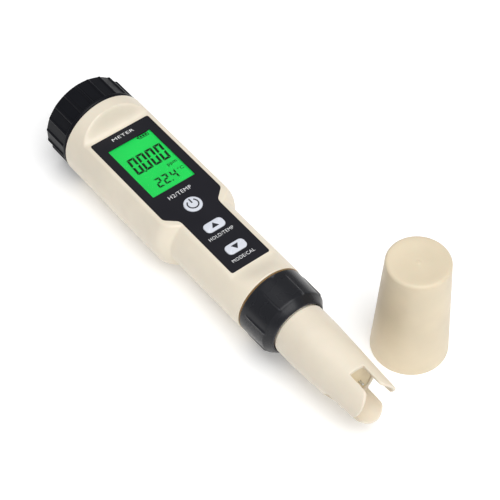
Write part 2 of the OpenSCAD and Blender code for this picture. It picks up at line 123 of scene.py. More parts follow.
def add_floor():
    """White floor, with a little light of its own so that it stays white in soft shadow."""
    bm = bmesh.new()
    bmesh.ops.create_grid(bm, x_segments=1, y_segments=1, size=FLOOR_REACH)
    mesh = bpy.data.meshes.new("floor")
    bm.to_mesh(mesh)
    bm.free()
    floor = bpy.data.objects.new("floor", mesh)
    paint = bpy.data.materials.new("floor_paint")
    paint.use_nodes = True
    shader = paint.node_tree.nodes["Principled BSDF"]
    shader.inputs["Base Color"].default_value = (FLOOR_GREY, FLOOR_GREY, FLOOR_GREY, 1)
    shader.inputs["Roughness"].default_value = FLOOR_ROUGHNESS
    shader.inputs["Emission Color"].default_value = (1, 1, 1, 1)
    shader.inputs["Emission Strength"].default_value = FLOOR_GLOW
    mesh.materials.append(paint)
    bpy.context.scene.collection.objects.link(floor)


def add_studio():
    bpy.context.scene.view_settings.view_transform = "Standard"
    for name, place, size, power in LIGHTS:
        add_area_light(name, place, size, power)
    world = bpy.data.worlds.new("studio")
    world.use_nodes = True
    sky = world.node_tree.nodes["Background"]
    sky.inputs["Color"].default_value = (1, 1, 1, 1)
    sky.inputs["Strength"].default_value = SKY_STRENGTH
    bpy.context.scene.world = world
    add_floor()


add_camera()
add_studio()

# ---- materials ----

# sockets of a Mix node that mixes colours
MIX_FACTOR, MIX_FIRST, MIX_SECOND, MIX_RESULT = 0, 6, 7, 2
# noise scales are in features per metre, depths and radii in metres
CLOUD_SCALE, GLOSS_SCALE = 55, 140
GRAIN_DEPTH = 0.00006
# pointiness where edges start to be made lighter and where they are fully lighter; this lightening is
# partly wear and partly a painted highlight
PLAIN_EDGE, WORN_AND_LIT_EDGE = 0.52, 0.6
TRANSLUCENT = {"Subsurface Weight": 0.05, "Subsurface Scale": 0.002}


def new_material(name, colour, roughness, settings):
    """A material with its uniform values set on the shader; returns it, its tree and shader."""
    made = bpy.data.materials.new(name)
    made.use_nodes = True
    tree = made.node_tree
    shader = tree.nodes["Principled BSDF"]
    shader.inputs["Base Color"].default_value = (*colour, 1)
    shader.inputs["Roughness"].default_value = roughness
    for socket, value in settings.items():
        shader.inputs[socket].default_value = value
    return made, tree, shader


def add_noise(tree, scale, detail, stretch=(1, 1, 1)):
    """Noise in the piece's own space; scale is in features per metre."""
    place = tree.nodes.new("ShaderNodeTexCoord")
    mapping = tree.nodes.new("ShaderNodeMapping")
    mapping.inputs["Scale"].default_value = stretch
    tree.links.new(place.outputs["Object"], mapping.inputs["Vector"])
    texture = tree.nodes.new("ShaderNodeTexNoise")
    texture.inputs["Scale"].default_value = scale
    texture.inputs["Detail"].default_value = detail
    tree.links.new(mapping.outputs["Vector"], texture.inputs["Vector"])
    return texture.outputs["Fac"]


def add_cells(tree, scale):
    """Distance to the middle of the nearest cell of a foam-like pattern."""
    place = tree.nodes.new("ShaderNodeTexCoord")
    texture = tree.nodes.new("ShaderNodeTexVoronoi")
    texture.inputs["Scale"].default_value = scale
    tree.links.new(place.outputs["Object"], texture.inputs["Vector"])
    return texture.outputs["Distance"]


def add_range(tree, value, low, high, new_low, new_high):
    """The value with low to high turned into new_low to new_high, and held at those ends."""
    node = tree.nodes.new("ShaderNodeMapRange")
    node.inputs["From Min"].default_value = low
    node.inputs["From Max"].default_value = high
    node.inputs["To Min"].default_value = new_low
    node.inputs["To Max"].default_value = new_high
    tree.links.new(value, node.inputs["Value"])
    return node.outputs["Result"]


def add_mix(tree, factor, first, second):
    """Mix of two colours; each is a colour triple or a socket."""
    node = tree.nodes.new("ShaderNodeMix")
    node.data_type = "RGBA"
    tree.links.new(factor, node.inputs[MIX_FACTOR])
    for value, socket in ((first, node.inputs[MIX_FIRST]), (second, node.inputs[MIX_SECOND])):
        if isinstance(value, tuple):
            socket.default_value = (*value, 1)
        else:
            tree.links.new(value, socket)
    return node.outputs[MIX_RESULT]


def add_bump(tree, height, strength, distance, edge=0.0):
    """Bump from a height, over edges rounded off by the given radius in metres."""
    bump = tree.nodes.new("ShaderNodeBump")
    bump.inputs["Strength"].default_value = strength
    bump.inputs["Distance"].default_value = distance
    tree.links.new(height, bump.inputs["Height"])
    if edge:
        bevel = tree.nodes.new("ShaderNodeBevel")
        bevel.samples = 4
        bevel.inputs["Radius"].default_value = edge
        tree.links.new(bevel.outputs["Normal"], bump.inputs["Normal"])
    return bump.outputs["Normal"]


def shade(colour, factor):
    """A colour made darker or lighter by a factor."""
    return tuple(min(1.0, part * factor) for part in colour)


def moulded(name, colour, roughness, grain=2600, relief=0.15, edge=0.00018, spread=0.05,
            stretch=(1, 1, 1), rub_and_highlight=0.35, worn_and_lit=1.25, **settings):
    """Moulded or painted surface: faint clouding, fine grain, uneven gloss and lighter edges, partly
    wear and partly a painted highlight.

    grain is the fine grain's scale and relief its strength; edge is the radius that edges
    seem rounded to; spread is the strength of the clouding; worn_and_lit is how much lighter a
    fully lightened edge would be, as wear and painted highlight, and rub_and_highlight how much of
    that shows.
    """
    made, tree, shader = new_material(name, colour, roughness, settings)
    cloud = add_noise(tree, CLOUD_SCALE, 3)
    clouded = add_mix(tree, add_range(tree, cloud, 0.3, 0.7, 0, 1),
                      shade(colour, 1 - spread), shade(colour, 1 + spread))
    pointed = tree.nodes.new("ShaderNodeNewGeometry").outputs["Pointiness"]
    # pointed edges made lighter: partly wear, partly a painted highlight
    rubbed_and_highlit = add_range(tree, pointed, PLAIN_EDGE, WORN_AND_LIT_EDGE, 0, rub_and_highlight)
    tree.links.new(add_mix(tree, rubbed_and_highlit, clouded, shade(colour, worn_and_lit)), shader.inputs["Base Color"])
    fine = add_noise(tree, grain, 4, stretch)
    gloss = add_range(tree, add_noise(tree, GLOSS_SCALE, 4), 0.25, 0.75,
                      roughness - 0.05, roughness + 0.07)
    tree.links.new(gloss, shader.inputs["Roughness"])
    normal = add_bump(tree, fine, relief, GRAIN_DEPTH, edge)
    tree.links.new(normal, shader.inputs["Normal"])
    return made


def metal(name, colour, roughness, stretch=(1, 1, 1)):
    """Bare metal; stretch draws its grain out into brush marks."""
    return moulded(name, colour, roughness, grain=1500, relief=0.12, edge=0.0001, spread=0.08,
                   stretch=stretch, Metallic=1.0)


def circuit_laminate():
    """Green solder resist with faint copper tracks under it."""
    base, track = (0.012, 0.11, 0.045), (0.05, 0.24, 0.08)
    made, tree, shader = new_material("circuit_laminate", base, 0.3, {})
    place = tree.nodes.new("ShaderNodeTexCoord")
    tracks = tree.nodes.new("ShaderNodeTexBrick")
    tracks.inputs["Scale"].default_value = 330
    tracks.inputs["Mortar Size"].default_value = 0.035
    tracks.inputs["Color1"].default_value = (*base, 1)
    tracks.inputs["Color2"].default_value = (*shade(base, 0.8), 1)
    tracks.inputs["Mortar"].default_value = (*track, 1)
    tree.links.new(place.outputs["Object"], tracks.inputs["Vector"])
    tree.links.new(tracks.outputs["Color"], shader.inputs["Base Color"])
    rough = add_range(tree, add_noise(tree, 300, 3), 0.3, 0.7, 0.22, 0.4)
    tree.links.new(rough, shader.inputs["Roughness"])
    normal = add_bump(tree, tracks.outputs["Fac"], 0.3, 0.00004, 0.0001)
    tree.links.new(normal, shader.inputs["Normal"])
    return made


def display_glow():
    """Green backlit display, with a slightly uneven glow."""
    unlit, glow = (0.02, 0.3, 0.06), (0.008, 0.5, 0.075)
    made, tree, shader = new_material("display_glow", unlit, 0.3,
                                      {"Emission Strength": 0.62, "Specular IOR Level": 0.1})
    cloud = add_range(tree, add_noise(tree, 45, 2), 0.3, 0.7, 0, 1)
    light = add_mix(tree, cloud, shade(glow, 0.94), shade(glow, 1.06))
    tree.links.new(light, shader.inputs["Emission Color"])
    tree.links.new(light, shader.inputs["Base Color"])
    fine = add_noise(tree, 5000, 2)
    tree.links.new(add_bump(tree, fine, 0.05, 0.00003), shader.inputs["Normal"])
    return made


def clear_lens():
    """Clear window with faint smears in its gloss."""
    made, tree, shader = new_material("clear_lens", (0.97, 1.0, 0.98), 0.04,
                                      {"Transmission Weight": 1.0, "IOR": 1.33})
    smear = add_range(tree, add_noise(tree, 160, 4), 0.4, 0.75, 0.015, 0.05)
    tree.links.new(smear, shader.inputs["Roughness"])
    fine = add_noise(tree, 900, 2)
    tree.links.new(add_bump(tree, fine, 0.02, 0.00002), shader.inputs["Normal"])
    return made


def foam():
    """Open-cell sponge: bright walls, with painted shade in the pores between them."""
    wall, pore_shade = (0.86, 0.74, 0.4), (0.5, 0.37, 0.13)
    made, tree, shader = new_material("foam", (0.8, 0.66, 0.3), 0.9, {"Sheen Weight": 0.25})
    cells = add_cells(tree, 1500)
    walls = add_range(tree, cells, 0.15, 0.6, 0, 1)
    tree.links.new(add_mix(tree, walls, pore_shade, wall), shader.inputs["Base Color"])
    tree.links.new(add_range(tree, cells, 0.1, 0.7, 0.95, 0.8), shader.inputs["Roughness"])
    tree.links.new(add_bump(tree, cells, 0.9, 0.0003), shader.inputs["Normal"])
    return made


# the look of each of the record's material slots
SLOT_LOOKS = {
    "cream_plastic": moulded("cream_plastic", (0.79, 0.715, 0.585), 0.4, relief=0.1,
                             **TRANSLUCENT),
    "black_plastic": moulded("black_plastic", (0.0068, 0.0074, 0.0100), 0.32, relief=0.12,
                             spread=0.12, **{"Specular IOR Level": 0.12}),
    "label_film": moulded("label_film", (0.0110, 0.0108, 0.0150), 0.36, grain=5200, relief=0.08,
                          spread=0.08, **{"Specular IOR Level": 0.22}),
    "clear_lens": clear_lens(),
    "display_glass": display_glow(),
    "white_plastic": moulded("white_plastic", (0.8, 0.81, 0.8), 0.35),
    "circuit_laminate": circuit_laminate(),
    "chip_epoxy": moulded("chip_epoxy", (0.025, 0.025, 0.026), 0.6, grain=6000, relief=0.3),
    "steel": metal("steel", (0.6, 0.61, 0.62), 0.3, (1, 0.08, 1)),
    "gold_plate": metal("gold_plate", (0.78, 0.56, 0.22), 0.25),
    "grey_key": moulded("grey_key", (0.665, 0.69, 0.76), 0.42, relief=0.1, spread=0.03),
    "amber_rubber": moulded("amber_rubber", (0.2, 0.12, 0.045), 0.5,
                            **{"Subsurface Weight": 0.3, "Subsurface Scale": 0.001}),
    "black_rubber": moulded("black_rubber", (0.015, 0.015, 0.015), 0.75, relief=0.3),
    "pale_rubber": moulded("pale_rubber", (0.62, 0.6, 0.54), 0.6, relief=0.25),
    "sensor_resin": moulded("sensor_resin", (0.6, 0.5, 0.32), 0.4, relief=0.2),
    "foam": foam(),
    "red_wire": moulded("red_wire", (0.4, 0.02, 0.02), 0.35),
    "flat_lead": moulded("flat_lead", (0.5, 0.5, 0.52), 0.4, stretch=(12, 0.4, 1)),
}
# looks of pieces that differ from their slot's
WHITE_INK = moulded("white_ink", (0.9, 0.91, 0.93), 0.5, grain=7000, relief=0.1, edge=0.0)
DARK_INK = moulded("dark_ink", (0.009, 0.01, 0.016), 0.5, grain=7000, relief=0.1, edge=0.0)
SEGMENT_INK = moulded("segment_ink", (0.0, 0.006, 0.001), 0.6, grain=7000, relief=0.1, edge=0.0,
                      **{"Specular IOR Level": 0.05})
GUARD_PLASTIC = moulded("guard_plastic", (0.76, 0.685, 0.56), 0.4, relief=0.1, edge=0.0, rub_and_highlight=0.0,
                        **TRANSLUCENT)
# the collar's ribs and edges are made much lighter than its body: a painted highlight on them
COLLAR_PLASTIC = moulded("collar_plastic", (0.0145, 0.0152, 0.0185), 0.26, relief=0.1, spread=0.15,
                         worn_and_lit=5.0, rub_and_highlight=0.9, **{"Specular IOR Level": 0.25})
CAP_PLASTIC = moulded("cap_plastic", (0.71, 0.61, 0.445), 0.42, relief=0.1,
                      **TRANSLUCENT)


def paint_nodes():
    """Gives every CAD node the look of its slot."""
    for part in frame["record"]["subparts"]:
        for held in NODES[part["node"]].material_slots:
            held.material = SLOT_LOOKS[part["material_slot"]]
    for held in NODES["storage_cap"].material_slots:
        held.material = CAP_PLASTIC


paint_nodes()

# ---- mesh helpers ----

CORNER_STEPS = 11


def pen_point(x, station, height):
    """A point of the pen's coordinates, in metres in the shared frame."""
    return Vector((PEN_X + x, PEN_Y + station, PEN_Z + height)) * MM


def ring_point(radius, degrees, station):
    """A point round the pen's axis."""
    a = math.radians(degrees)
    return pen_point(radius * math.sin(a), station, radius * math.cos(a))


def skin(rings, looped=False):
    """Mesh over rings of equal count: looped joins last to first, otherwise the ends are capped."""
    bm = bmesh.new()
    loops = [[bm.verts.new(point) for point in ring] for ring in rings]
    pairs = list(zip(loops, loops[1:]))
    if looped:
        pairs.append((loops[-1], loops[0]))
    else:
        bm.faces.new(loops[0][::-1])
        bm.faces.new(loops[-1])
    count = len(loops[0])
    for first, second in pairs:
        for i in range(count):
            j = (i + 1) % count
            bm.faces.new((first[i], first[j], second[j], second[i]))
    bmesh.ops.recalc_face_normals(bm, faces=bm.faces)
    return bm


def to_object(name, bm, look):
    """An object with one material from a bmesh, which is freed."""
    mesh = bpy.data.meshes.new(name)
    bm.to_mesh(mesh)
    bm.free()
    mesh.materials.append(look)
    made = bpy.data.objects.new(name, mesh)
    bpy.context.scene.collection.objects.link(made)
    return made


def finish_piece(made, body, replaced=(), sharp=32):
    """Smooth shading up to an angle; the piece is parented to its body, and the CAD parts it replaces
    are hidden.
    """
    made.data.shade_smooth()
    made.data.set_sharp_from_angle(angle=math.radians(sharp))
    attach(made, body)
    if replaced:
        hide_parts(*replaced)


def cut(made, cutter_bm, operation="DIFFERENCE"):
    """Cuts a closed shape out of a piece, or adds it, and keeps the result as its mesh."""
    cutter = to_object("cutter", cutter_bm, WHITE_INK)
    change = made.modifiers.new("cut", "BOOLEAN")
    change.operation = operation
    change.solver = "EXACT"
    change.object = cutter
    look = made.data.materials[0]
    shape = made.evaluated_get(bpy.context.evaluated_depsgraph_get())
    mesh = bpy.data.meshes.new_from_object(shape)
    made.modifiers.clear()
    mesh.materials.clear()
    mesh.materials.append(look)
    mesh.polygons.foreach_set("material_index", [0] * len(mesh.polygons))
    made.data = mesh
    bpy.data.objects.remove(cutter)


def prism(outline, low, high):
    """Upright prism over an outline of (x, station) points, between two heights."""
    return skin([[pen_point(x, station, z) for x, station in outline] for z in (low, high)])


def joined(parts):
    """One bmesh from several, which are freed."""
    whole = bmesh.new()
    for part in parts:
        mesh = bpy.data.meshes.new("part")
        part.to_mesh(mesh)
        part.free()
        whole.from_mesh(mesh)
        bpy.data.meshes.remove(mesh)
    return whole


def circle(cx, cy, radius, count=64):
    """Outline of a circle, as (x, y) points."""
    turns = [2 * math.pi * i / count for i in range(count)]
    return [(cx + radius * math.cos(a), cy + radius * math.sin(a)) for a in turns]


def round_box(cx, cy, width, length, radius, corner_steps=CORNER_STEPS):
    """Rounded rectangle, starting on the right and going anticlockwise."""
    points = []
    for quarter, (sx, sy) in enumerate(((1, 1), (-1, 1), (-1, -1), (1, -1))):
        for i in range(corner_steps + 1):
            a = math.radians(90 * (quarter + i / corner_steps))
            points.append((cx + sx * (width / 2 - radius) + radius * math.cos(a),
                           cy + sy * (length / 2 - radius) + radius * math.sin(a)))
    return points


def soft_min(a, b, blend):
    """The smaller of two values, rounded off where they are less than blend apart."""
    h = max(blend - abs(a - b), 0) / blend
    return min(a, b) - h * h * blend / 4


def soft_max(a, b, blend):
    """The larger of two values, rounded off in the same way."""
    return -soft_min(-a, -b, blend)


def steps(low, high, size):
    """Evenly spaced values from low to high, about size apart."""
    count = max(1, round((high - low) / size))
    return [low + (high - low) * i / count for i in range(count + 1)]


def mirrored(half):
    """Angles all round from those of one side, which run from 0 to 180."""
    return half + [360 - a for a in half[-2:0:-1]]


# ---- housing ----

BODY_R, BODY_TAPER, TAPER_L = 15.9, 0.1, 45
HEAD_R = 20.0
HEAD_REAR_R = 20.1
BODY_FRONT = 64.9
SHOULDER = 115.3
SHOULDER_R, SHOULDER_BLEND = 7.5, 0.9
HEAD_REAR = 177.9
FRONT_EDGE_R, REAR_EDGE_R = 0.3, 0.7
FACE_Z = 12.0
POCKET_Z = 11.65
CEILING_Z = 9.65
FRONT_RAMP, RAMP_L, RAMP_RISE, RAMP_POWER = 75.4, 9.6, 4.3, 1.5
REAR_SCOOP, SCOOP_L, SCOOP_RISE, SCOOP_POWER = 166.3, 6.0, 9.2, 2.2
# how far the face's edges are blended into the barrel, and how much more on its ramps
SOFT_EDGE = 1.1
RAMP_SOFTER = 1.3
# how far before the ramp and the scoop the extra blend starts, and the length it grows over
RAMP_AHEAD, SCOOP_AHEAD, SOFTER_OVER = 1.5, 0.5, 2
# the face can be met where the cosine of the angle is above the first of these, and the flat
# that the pen rests on where it is below the second
FACE_LIFT, REST_LIFT = 0.05, -0.9
REST_BLEND = 0.1

FRONT_NECK_R, FRONT_NECK_END = 12.7, 53.0
REAR_NECK_R, REAR_NECK_END = 17.2, 188.6
FRONT_CHAMFER, REAR_CHAMFER = 0.3, 0.4
# each thread's first and last station, and the height of its ridge
FRONT_THREAD = (54.5, 63.5, 0.24)
REAR_THREAD = (179.5, 187.8, 0.38)
THREAD_PITCH, THREAD_FADE = 2.0, 1.2
RIDGE_TOP, RIDGE_SLOPE = 1.7, 5
GROOVE_STATIONS = (136.8, 162.4)
GROOVE_R, GROOVE_DEPTH = 2.4, 0.7
GROOVE_FROM, GROOVE_FADE = 100, 8
BOSS_SPOTS = ((-10.5, 119.5), (10.5, 119.5), (-8.3, 74.6), (8.3, 74.6))
BOSS_R, PILOT_R, BOARD_TOP = 2.0, 0.8, 4.8
BOSS_LET_IN, PILOT_SHORT = 0.3, 0.05

# stretches of the barrel as first station, last station and spacing
BARREL_STEPS = ((BODY_FRONT + 0.5, 75.5, 0.35), (77, 106.5, 3), (107, 116.2, 0.4), (119, 134.5, 4),
                (134.6, 139, 0.3), (142, 159.9, 4), (160.2, 164.7, 0.3), (165.2, 166.2, 0.5),
                (166.5, 172.6, 0.25), (173.4, 177.1, 1.0))
NECK_STEP = 0.25
# the inside as (radius, station); the middle stretch has a flat ceiling under the label face
REAR_BORE = ((15.6, REAR_NECK_END), (15.6, 176.5))
CAVITY = ((15.6, 176.2), (18.0, 176.0), (18.0, 117.5), (13.9, 110.5), (13.9, 69.9), (11.2, 69.7))
FRONT_BORE = ((11.2, 69.4), (11.2, FRONT_NECK_END))

KEY_STATIONS = {"power": 114.5, "up": 100.4, "down": 86.4}
POWER_R = 3.95
ARROW_W, ARROW_L = 9.3, 5.05
ARROW_CORNER = 1.95
KEY_GAP = 0.07
LENS_W, LENS_L, WINDOW_STATION = 24.4, 35.1, 143.0
LENS_GAP, LENS_CORNER = 0.1, 0.4
LABEL_GAP = 0.1
# cutters for openings in the face reach from the cavity to well above the face
CUT_LOW, CUT_TOP = 5, FACE_Z + 3


def power_hole():
    return circle(0, KEY_STATIONS["power"], POWER_R + KEY_GAP)


def arrow_hole(key):
    return round_box(0, KEY_STATIONS[key], ARROW_W + 2 * KEY_GAP, ARROW_L + 2 * KEY_GAP,
                     ARROW_CORNER + KEY_GAP)


def barrel_radius(station):
    """Radius of the barrel before the flat face is taken off it."""
    body = BODY_R - BODY_TAPER + BODY_TAPER * (station - BODY_FRONT) / TAPER_L
    ahead = SHOULDER - station
    if ahead > SHOULDER_R:
        return body
    head = HEAD_R + (HEAD_REAR_R - HEAD_R) * max(0, -ahead) / (HEAD_REAR - SHOULDER)
    if ahead > 0:
        head += math.sqrt(SHOULDER_R ** 2 - ahead ** 2) - SHOULDER_R
    return soft_max(body, head, SHOULDER_BLEND)


def face_height(station):
    """Height of the label face, with its hollowed ramps, or None beyond them."""
    behind = station - REAR_SCOOP
    ahead = FRONT_RAMP - station
    if behind >= SCOOP_L or ahead >= RAMP_L:
        return None
    if behind > 0:
        return FACE_Z + SCOOP_RISE * (behind / SCOOP_L) ** SCOOP_POWER
    if ahead > 0:
        return FACE_Z + RAMP_RISE * (ahead / RAMP_L) ** RAMP_POWER
    return FACE_Z


def groove_depth(station, degrees):
    """Depth of the two shallow finger grooves across the underside."""
    below = min(degrees, 360 - degrees)
    side = min(1.0, max(0.0, (below - GROOVE_FROM) / GROOVE_FADE))
    near = min(abs(station - s) for s in GROOVE_STATIONS)
    if near >= GROOVE_R or side == 0:
        return 0.0
    depth = math.sqrt(GROOVE_R ** 2 - near ** 2) - (GROOVE_R - GROOVE_DEPTH)
    return max(0.0, depth) * side * side * (3 - 2 * side)


def outer_radius(station, degrees):
    """Radius of the finished outside, with the label face and the flat that it rests on."""
    radius = barrel_radius(station) - groove_depth(station, degrees)
    lift = math.cos(math.radians(degrees))
    face = face_height(station)
    if face is not None and lift > FACE_LIFT:
        on_ramp = FRONT_RAMP + RAMP_AHEAD - station
        on_scoop = station - REAR_SCOOP + SCOOP_AHEAD
        share = min(1.0, max(0.0, max(on_ramp, on_scoop) / SOFTER_OVER))
        radius = soft_min(radius, face / lift, SOFT_EDGE + RAMP_SOFTER * share)
    if lift < REST_LIFT:
        radius = soft_min(radius, -PEN_Z / lift, REST_BLEND)
    return radius


def neck_radius(base, station, degrees, thread):
    """Round neck with a helical thread that fades in and out at its ends."""
    start, end, height = thread
    turn = (station / THREAD_PITCH + degrees / 360) % 1
    ridge = max(0.0, min(1.0, RIDGE_TOP - RIDGE_SLOPE * abs(turn - 0.5)))
    fade = max(0.0, min(1.0, (station - start) / THREAD_FADE, (end - station) / THREAD_FADE))
    return base + height * ridge * fade


def housing_rings(angles):
    """Rings over the outside from the front neck to the rear neck."""
    rings = []

    def add(station, radius_at):
        rings.append([ring_point(radius_at(a), a, station) for a in angles])

    def front_neck(station):
        return lambda a: neck_radius(FRONT_NECK_R, station, a, FRONT_THREAD)

    def rear_neck(station):
        return lambda a: neck_radius(REAR_NECK_R, station, a, REAR_THREAD)

    def outside(station, less=0.0):
        return lambda a: outer_radius(station, a) - less

    add(FRONT_NECK_END, lambda a: FRONT_NECK_R - FRONT_CHAMFER)
    for station in steps(FRONT_NECK_END + FRONT_CHAMFER, BODY_FRONT, NECK_STEP):
        add(station, front_neck(station))
    for turn in range(90, -1, -15):
        a = math.radians(turn)
        station = BODY_FRONT + FRONT_EDGE_R * (1 - math.sin(a))
        add(station, outside(station, FRONT_EDGE_R * (1 - math.cos(a))))
    for low, high, size in BARREL_STEPS:
        for station in steps(low, high, size):
            add(station, outside(station))
    for turn in range(0, 91, 15):
        a = math.radians(turn)
        add(HEAD_REAR - REAR_EDGE_R * (1 - math.sin(a)),
            outside(HEAD_REAR - 1, REAR_EDGE_R * (1 - math.cos(a))))
    add(HEAD_REAR, lambda a: REAR_NECK_R)
    for station in steps(HEAD_REAR + 0.2, REAR_NECK_END - REAR_CHAMFER, NECK_STEP):
        add(station, rear_neck(station))
    add(REAR_NECK_END, lambda a: REAR_NECK_R - REAR_CHAMFER)
    return rings


def cavity_rings(angles):
    """Rings over the inside, from the rear neck back to the front neck."""

    def ceiling(radius, degrees):
        lift = math.cos(math.radians(degrees))
        return min(radius, CEILING_Z / lift) if lift > FACE_LIFT else radius

    rings = [[ring_point(r, a, s) for a in angles] for r, s in REAR_BORE]
    rings += [[ring_point(ceiling(r, a), a, s) for a in angles] for r, s in CAVITY]
    return rings + [[ring_point(r, a, s) for a in angles] for r, s in FRONT_BORE]


def screw_boss(x, station):
    """Hollow post that takes a board screw, let a little into the wall above it."""
    sizes = ((BOSS_R, CEILING_Z + BOSS_LET_IN), (BOSS_R, BOARD_TOP), (PILOT_R, BOARD_TOP),
             (PILOT_R, CEILING_Z - PILOT_SHORT))
    ends = [[pen_point(px, py, z) for px, py in circle(x, station, r, 32)] for r, z in sizes]
    return skin(ends)


def build_housing():
    """The barrel; its angles are closest together where the face's edges meet it."""
    half = steps(0, 34, 4.25) + steps(34.8, 60, 0.8) + steps(63, 180, 4.5)
    angles = mirrored(half)
    made = to_object("housing_shell", skin(housing_rings(angles) + cavity_rings(angles), looped=True),
                     SLOT_LOOKS["cream_plastic"])
    cut(made, joined([screw_boss(x, station) for x, station in BOSS_SPOTS]), "UNION")
    cut(made, prism(label_outline(LABEL_GAP), POCKET_Z, CUT_TOP))
    lens = round_box(0, WINDOW_STATION, LENS_W + 2 * LENS_GAP, LENS_L + 2 * LENS_GAP, LENS_CORNER)
    holes = [lens, power_hole(), arrow_hole("up"), arrow_hole("down")]
    cut(made, joined([prism(hole, CUT_LOW, CUT_TOP) for hole in holes]))
    finish_piece(made, "pen", ["housing"], sharp=40)


# ---- label, legends and display ----

LABEL_W, LABEL_LOW_W = 29.2, 18.8
LABEL_FRONT, LABEL_REAR = 76.6, 165.9
LABEL_NECK, LABEL_SLANT, LABEL_WIDE = 109.2, 110.8, 115.1
SLANT_OUT = 0.4
LABEL_LOW, LABEL_TOP = POCKET_Z + 0.02, 11.97
WINDOW_W, WINDOW_L, WINDOW_CORNER = 21.1, 31.7, 0.15
LCD_TOP = 10.7
# print is a thin layer of ink, lifted just clear of what it is printed on
INK = 0.02
LEGEND_LOW = LABEL_TOP + 0.005
MARK_LOW = LCD_TOP + 0.006
LEGEND_WEIGHT, UNIT_WEIGHT = -0.010, 0.012
LETTER_SPACING = 1.08
# the most of each side that a rounded corner takes
CORNER_SHARE = 0.45


def label_outline(grow):
    """Outline of the label, wide on the head and narrow on the lower body, with round corners."""
    half, low = LABEL_W / 2 + grow, LABEL_LOW_W / 2 + grow
    right = [(low, LABEL_FRONT - grow, 1.1), (low, LABEL_NECK, 2.0),
             (low + SLANT_OUT, LABEL_SLANT, 1.0), (half, LABEL_WIDE, 1.2),
             (half, LABEL_REAR + grow, 1.1)]
    left = [(-x, y, r) for x, y, r in right[::-1]]
    return rounded(right + left)


def rounded(corners, corner_steps=6):
    """Outline with each (x, y, radius) corner rounded off by a smooth curve."""
    points = []
    count = len(corners)
    for i, (x, y, radius) in enumerate(corners):
        here = Vector((x, y))
        before = Vector(corners[i - 1][:2]) - here
        after = Vector(corners[(i + 1) % count][:2]) - here
        reach = min(radius, before.length * CORNER_SHARE, after.length * CORNER_SHARE)
        start = here + before.normalized() * reach
        end = here + after.normalized() * reach
        for k in range(corner_steps + 1):
            t = k / corner_steps
            point = start * (1 - t) ** 2 + here * 2 * t * (1 - t) + end * t * t
            points.append((point.x, point.y))
    return points


def build_label():
    """Printed film with its openings, a little rounded at its rim by its material."""
    made = to_object("label_sheet", prism(label_outline(0), LABEL_LOW, LABEL_TOP),
                     SLOT_LOOKS["label_film"])
    window = round_box(0, WINDOW_STATION, WINDOW_W, WINDOW_L, WINDOW_CORNER, 3)
    holes = [window, power_hole(), arrow_hole("up"), arrow_hole("down")]
    cut(made, joined([prism(hole, LABEL_LOW - 1, LABEL_TOP + 1) for hole in holes]))
    finish_piece(made, "pen", ["overlay_label"])


def letter_mesh(words, weight):
    """Words in the built-in font as a closed mesh, one unit thick about height 0."""
    curve = bpy.data.curves.new("letters", "FONT")
    curve.body = words
    curve.size = 1.0
    curve.resolution_u = 3
    curve.extrude = 0.5
    curve.offset = weight
    curve.space_character = LETTER_SPACING
    source = bpy.data.objects.new("letters", curve)
    bpy.context.scene.collection.objects.link(source)
    shape = source.evaluated_get(bpy.context.evaluated_depsgraph_get())
    bm = bmesh.new()
    bm.from_mesh(bpy.data.meshes.new_from_object(shape))
    bpy.data.objects.remove(source)
    bmesh.ops.remove_doubles(bm, verts=bm.verts, dist=1e-4)
    return bm


def lettering(words, cx, cy, width, height, low, weight):
    """Flat letters of ink that fill the given width and height."""
    bm = letter_mesh(words, weight)
    low_x, high_x = min(v.co.x for v in bm.verts), max(v.co.x for v in bm.verts)
    low_y, high_y = min(v.co.y for v in bm.verts), max(v.co.y for v in bm.verts)
    for v in bm.verts:
        v.co = pen_point(cx + ((v.co.x - low_x) / (high_x - low_x) - 0.5) * width,
                         cy + ((v.co.y - low_y) / (high_y - low_y) - 0.5) * height,
                         low + (v.co.z + 0.5) * INK)
    return bm


def build_legends():
    """Generic words printed on the label; each is (words, x, station, width, height)."""
    words = {"legend_top": ("METER", -0.1, 163.0, 10.6, 1.5),
             "legend_display": ("H2/TEMP", -0.4, 122.9, 11.2, 1.9),
             "legend_up": ("HOLD/TEMP", -0.35, 95.3, 11.9, 1.6),
             "legend_down": ("MODE/CAL", -0.3, 81.1, 10.7, 1.6)}
    for name, (text, x, station, width, height) in words.items():
        bm = lettering(text, x, station, width, height, LEGEND_LOW, LEGEND_WEIGHT)
        finish_piece(to_object(name, bm, WHITE_INK), "pen")


# which of the seven segments, a to g, each digit lights
SEGMENTS = {"0": "abcdef", "2": "abged", "4": "fgbc"}
SEGMENT_GAP = 0.09
SLANT = 0.07
# width, height and segment thickness
LARGE_DIGIT = (3.55, 9.5, 1.05)
SMALL_DIGIT = (2.8, 5.2, 0.75)


def segment_shapes(width, height, thick):
    """Mitred outlines of the seven segments, in a digit whose lower left corner is at 0, 0."""
    w, h, t, g = width, height, thick, SEGMENT_GAP
    middle, half = height / 2, thick / 2
    shapes = {"a": [(g, h), (t + g, h - t), (w - t - g, h - t), (w - g, h)],
              "d": [(g, 0), (w - g, 0), (w - t - g, t), (t + g, t)],
              "e": [(0, g), (t, t + g), (t, middle - half - g), (0, middle - g)],
              "f": [(0, middle + g), (t, middle + half + g), (t, h - t - g), (0, h - g)],
              "g": [(half + g, middle), (t + g, middle - half), (w - t - g, middle - half),
                    (w - half - g, middle), (w - t - g, middle + half), (t + g, middle + half)]}
    shapes["b"] = [(w - x, y) for x, y in shapes["f"][::-1]]
    shapes["c"] = [(w - x, y) for x, y in shapes["e"][::-1]]
    return shapes


def mark(outline):
    """A dark mark on the display."""
    return prism(outline, MARK_LOW, MARK_LOW + INK)


